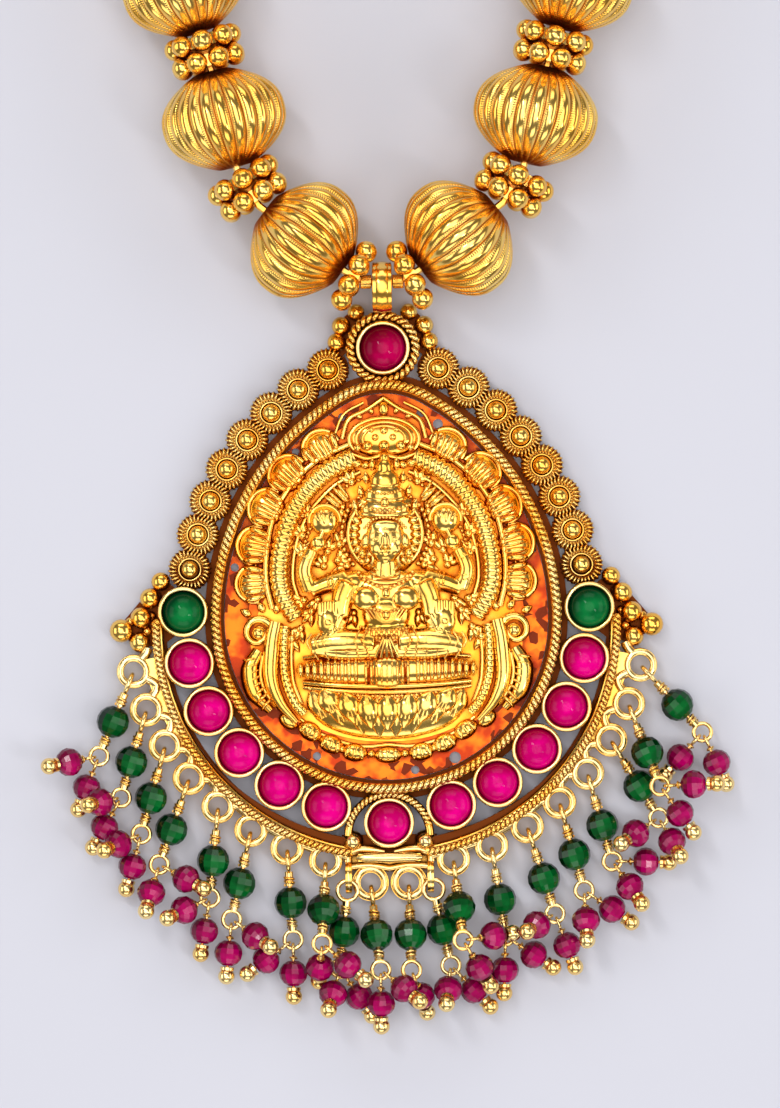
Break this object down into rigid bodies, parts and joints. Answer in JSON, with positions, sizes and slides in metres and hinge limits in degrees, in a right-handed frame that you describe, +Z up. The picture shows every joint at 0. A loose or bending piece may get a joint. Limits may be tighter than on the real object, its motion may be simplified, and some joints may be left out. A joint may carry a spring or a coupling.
{
  "type": "temple jewellery necklace",
  "caption": "Gold temple necklace of ribbed beads with a pear-shaped goddess pendant, set stones, coiled rosettes and a fringe of green and red beads, lying flat.",
  "frame": {"origin": "middle of the pendant's flat back, on the surface that the necklace lies on", "axes": "+Z up out of the pendant's face, +Y from the pendant towards the clasp, +X to the right as seen from the front"},
  "size_m": [0.0972, 0.2926, 0.015],
  "materials": {
    "plain_gold": "polished gold plate with darker red-brown recesses",
    "antique_gold": "cast gold plate with orange antique tint in the recesses",
    "ribbed_gold": "gold plate, ribbed with fine cross hatching",
    "granule_gold": "polished gold plate granules",
    "ruby_stone": "polished magenta cabochon",
    "emerald_stone": "polished dark green cabochon",
    "green_glass": "faceted green glass",
    "ruby_glass": "faceted wine-red glass"
  },
  "bodies": {
    "root": {"pendant_frame": "plain_gold", "pierced_sheet": "antique_gold", "goddess_relief": "antique_gold", "string_wire": "plain_gold", "clasp": "plain_gold", "spacers_left": "granule_gold", "spacers_right": "granule_gold", "green_beads_left": "green_glass", "green_beads_right": "green_glass", "ruby_beads_left": "ruby_glass", "ruby_beads_right": "ruby_glass", "green_pins_left": "plain_gold", "green_pins_right": "plain_gold", "ruby_pins_left": "plain_gold", "ruby_pins_right": "plain_gold", "stone_top": "ruby_stone", "stone_middle": "ruby_stone", "stone_left_1": "ruby_stone", "stone_left_2": "ruby_stone", "stone_left_3": "ruby_stone", "stone_left_4": "ruby_stone", "stone_left_5": "ruby_stone", "stone_left_6": "emerald_stone", "stone_right_1": "ruby_stone", "stone_right_2": "ruby_stone", "stone_right_3": "ruby_stone", "stone_right_4": "ruby_stone", "stone_right_5": "ruby_stone", "stone_right_6": "emerald_stone", "melon_left_01": "ribbed_gold", "melon_left_02": "ribbed_gold", "melon_left_03": "ribbed_gold", "melon_left_04": "ribbed_gold", "melon_left_05": "ribbed_gold", "melon_left_06": "ribbed_gold", "melon_left_07": "ribbed_gold", "melon_left_08": "ribbed_gold", "melon_left_09": "ribbed_gold", "melon_left_10": "ribbed_gold", "melon_left_11": "ribbed_gold", "melon_left_12": "ribbed_gold", "melon_left_13": "ribbed_gold", "melon_right_01": "ribbed_gold", "melon_right_02": "ribbed_gold", "melon_right_03": "ribbed_gold", "melon_right_04": "ribbed_gold", "melon_right_05": "ribbed_gold", "melon_right_06": "ribbed_gold", "melon_right_07": "ribbed_gold", "melon_right_08": "ribbed_gold", "melon_right_09": "ribbed_gold", "melon_right_10": "ribbed_gold", "melon_right_11": "ribbed_gold", "melon_right_12": "ribbed_gold", "melon_right_13": "ribbed_gold"}
  },
  "joints": []
}
